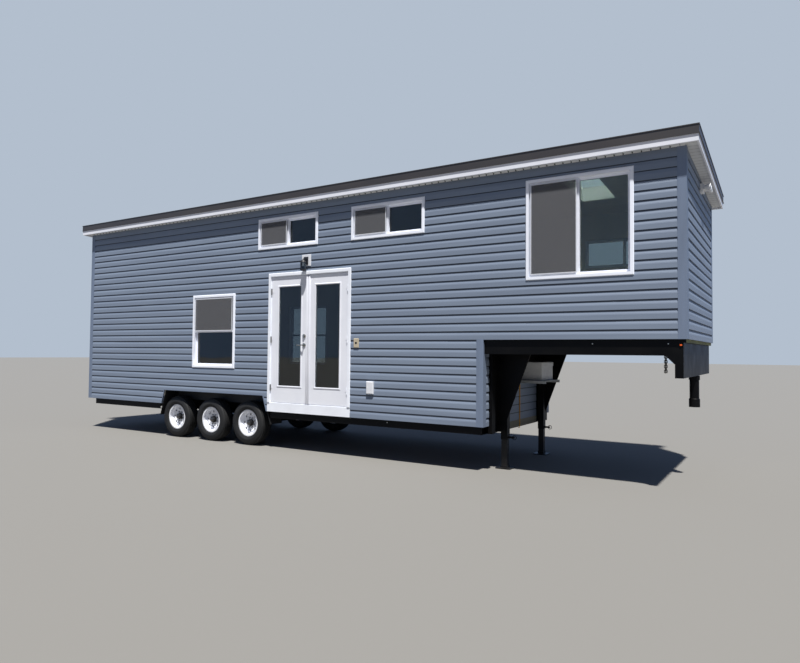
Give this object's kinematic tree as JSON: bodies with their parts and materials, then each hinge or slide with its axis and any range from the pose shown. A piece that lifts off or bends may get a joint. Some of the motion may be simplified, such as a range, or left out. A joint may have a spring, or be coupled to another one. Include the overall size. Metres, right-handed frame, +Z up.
{
  "type": "tiny house on wheels",
  "caption": "Mobile tiny house with lap siding, a shed roof, a double door and a loft over a gooseneck hitch, on a steel trailer frame with sprung axles and landing legs.",
  "frame": {"origin": "on the ground under the middle of the roof's outline", "axes": "+X towards the gooseneck and the loft, +Y away from the double door's side, +Z up"},
  "size_m": [11.449, 2.894, 4.1147],
  "materials": {
    "siding": "satin vinyl",
    "white_trim": "satin vinyl",
    "dark_metal": "satin",
    "roof_wood": "painted",
    "floor_wood": "plywood",
    "loft_wood": "treated timber",
    "frame_steel": "gloss black paint",
    "door_paint": "satin",
    "glass": "clear",
    "nickel": "brushed",
    "rubber": "matte",
    "rim_paint": "gloss white",
    "steel": "mill",
    "zinc": "zinc plated",
    "battery_case": "moulded",
    "strap": "webbing",
    "liner": "matt"
  },
  "bodies": {
    "house": {"axles": "frame_steel", "battery_box": "battery_case", "battery_shelf": "zinc", "chassis": "frame_steel", "corner_posts": "siding", "coupler": "frame_steel", "cross_members": "frame_steel", "door_frame": "white_trim", "door_sill": "white_trim", "far_wall_loft": "siding", "far_wall_main": "siding", "fascia": "white_trim", "flood_light": "white_trim", "front_wall": "siding", "hinge_pins": "nickel", "leaf_springs": "frame_steel", "leg_tubes": "frame_steel", "loft_floor": "loft_wood", "lower_front_wall": "siding", "main_floor": "floor_wood", "mounting_blocks": "white_trim", "near_wall_loft": "siding", "near_wall_lower": "siding", "near_wall_top": "siding", "neck_beams": "frame_steel", "neck_panel": "frame_steel", "nose": "frame_steel", "porch_lantern": "dark_metal", "rear_wall": "siding", "roof_covering": "dark_metal", "roof_deck": "roof_wood", "safety_chains": "zinc", "siding_skirts": "siding", "skylight_frame": "dark_metal", "soffit": "white_trim", "spring_hangers": "frame_steel", "tie_strap": "strap", "wheel_liners": "liner", "window_frames": "white_trim", "window_glass": "glass"},
    "left_leaf": {"left_door": "door_paint", "left_door_glass": "glass", "left_door_hardware": "nickel"},
    "right_leaf": {"right_door": "door_paint", "right_door_glass": "glass", "right_door_hardware": "nickel"},
    "near_drop_leg": {"near_leg": "steel"},
    "far_drop_leg": {"far_leg": "steel"},
    "near_rear_wheel": {"near_rear_tyre": "rubber", "near_rear_rim": "rim_paint"},
    "near_middle_wheel": {"near_middle_tyre": "rubber", "near_middle_rim": "rim_paint"},
    "near_front_wheel": {"near_front_tyre": "rubber", "near_front_rim": "rim_paint"},
    "far_rear_wheel": {"far_rear_tyre": "rubber", "far_rear_rim": "rim_paint"},
    "far_middle_wheel": {"far_middle_tyre": "rubber", "far_middle_rim": "rim_paint"},
    "far_front_wheel": {"far_front_tyre": "rubber", "far_front_rim": "rim_paint"}
  },
  "joints": [
    {"name": "left_door_swing", "type": "hinge", "parent": "house", "child": "left_leaf", "pos_m": [-0.614, -1.3095, 1.8], "axis": [0, 0, -1], "range_deg": [0, 100]},
    {"name": "right_door_swing", "type": "hinge", "parent": "house", "child": "right_leaf", "pos_m": [0.915, -1.3095, 1.8], "axis": [0, 0, 1], "range_deg": [0, 100]},
    {"name": "near_leg_drop", "type": "slide", "parent": "house", "child": "near_drop_leg", "axis": [0, 0, 1], "range_m": [0, 0.34]},
    {"name": "far_leg_drop", "type": "slide", "parent": "house", "child": "far_drop_leg", "axis": [0, 0, 1], "range_m": [0, 0.34]},
    {"name": "near_rear_spin", "type": "hinge", "parent": "house", "child": "near_rear_wheel", "pos_m": [-2.9645, -1.1425, 0.369], "axis": [0, 1, 0], "continuous": true},
    {"name": "near_middle_spin", "type": "hinge", "parent": "house", "child": "near_middle_wheel", "pos_m": [-2.0725, -1.1425, 0.369], "axis": [0, 1, 0], "continuous": true},
    {"name": "near_front_spin", "type": "hinge", "parent": "house", "child": "near_front_wheel", "pos_m": [-1.1805, -1.1425, 0.369], "axis": [0, 1, 0], "continuous": true},
    {"name": "far_rear_spin", "type": "hinge", "parent": "house", "child": "far_rear_wheel", "pos_m": [-2.9645, 1.1425, 0.369], "axis": [0, 1, 0], "continuous": true},
    {"name": "far_middle_spin", "type": "hinge", "parent": "house", "child": "far_middle_wheel", "pos_m": [-2.0725, 1.1425, 0.369], "axis": [0, 1, 0], "continuous": true},
    {"name": "far_front_spin", "type": "hinge", "parent": "house", "child": "far_front_wheel", "pos_m": [-1.1805, 1.1425, 0.369], "axis": [0, 1, 0], "continuous": true}
  ]
}
